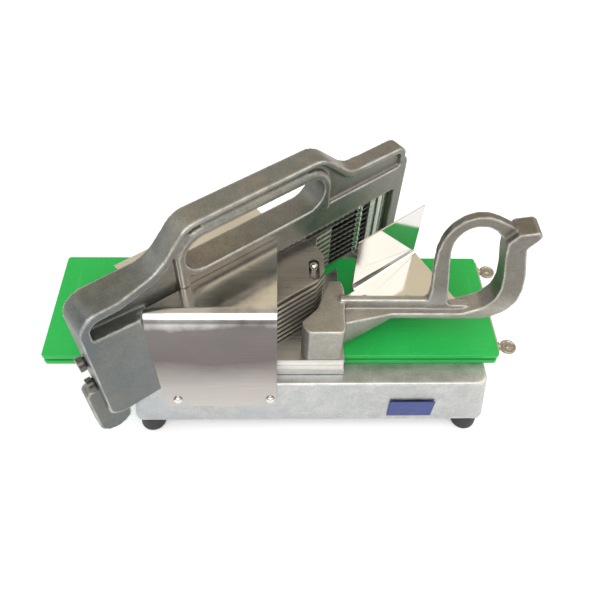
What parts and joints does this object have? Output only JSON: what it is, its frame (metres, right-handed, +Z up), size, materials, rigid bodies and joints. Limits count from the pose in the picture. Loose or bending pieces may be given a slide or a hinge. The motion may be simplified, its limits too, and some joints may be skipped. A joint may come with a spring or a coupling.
{
  "type": "vegetable dicer",
  "caption": "Countertop vegetable dicer with a diagonal frame of serrated blades over a slide board, a finned pusher sled with a D-grip, guards and rubber feet.",
  "frame": {"origin": "on the table under the centre of the whole object's box", "axes": "+X along the stroke from the exit end towards the grip, +Y across the board towards the rear, +Z up"},
  "size_m": [0.4084, 0.2086, 0.233],
  "materials": {
    "cast_aluminium": "as-cast, tumbled satin",
    "machined_aluminium": "satin",
    "sheet_stainless": "bright brushed",
    "polished_stainless": "polished",
    "blade_steel": "ground",
    "fasteners": "bright",
    "board_plastic": "satin, moulded",
    "rubber": "matte",
    "label": "satin"
  },
  "bodies": {
    "base": {"base_casting": "cast_aluminium", "rubber_feet": "rubber", "foot_screws": "fasteners", "slide_board": "board_plastic", "board_end_strip": "sheet_stainless", "blade_frame": "cast_aluminium", "frame_bolts": "fasteners", "blade_anchor_left": "machined_aluminium", "blade_anchor_right": "machined_aluminium", "anchor_pin_left": "fasteners", "anchor_pin_right": "fasteners", "slicing_blades": "blade_steel", "blade_spacers": "fasteners", "blade_spacer_pin": "fasteners", "tension_bolts": "fasteners", "front_guard": "sheet_stainless", "front_guard_screws": "fasteners", "rear_guard": "sheet_stainless", "rear_guard_screws": "fasteners", "label_plate": "label"},
    "pusher": {"pusher_sled": "sheet_stainless", "pusher_fins": "machined_aluminium", "fin_spacers": "fasteners", "fin_tie_bolts": "fasteners", "pusher_top_plate": "sheet_stainless", "top_stud": "fasteners", "pusher_casting": "cast_aluminium", "casting_screws": "fasteners", "knuckle_guard": "polished_stainless", "knuckle_guard_screws": "fasteners"},
    "thumb_screw_front": {"thumb_screw_front": "fasteners"},
    "thumb_screw_rear": {"thumb_screw_rear": "fasteners"}
  },
  "joints": [
    {"name": "pusher_slide", "type": "slide", "parent": "base", "child": "pusher", "axis": [1, 0, 0], "range_m": [0, 0.14]},
    {"name": "thumb_screw_front_turn", "type": "hinge", "parent": "base", "child": "thumb_screw_front", "pos_m": [0.18576, -0.04195, 0.08565], "axis": [1, 0, 0], "continuous": true},
    {"name": "thumb_screw_rear_turn", "type": "hinge", "parent": "base", "child": "thumb_screw_rear", "pos_m": [0.18576, 0.04455, 0.08565], "axis": [1, 0, 0], "continuous": true}
  ]
}
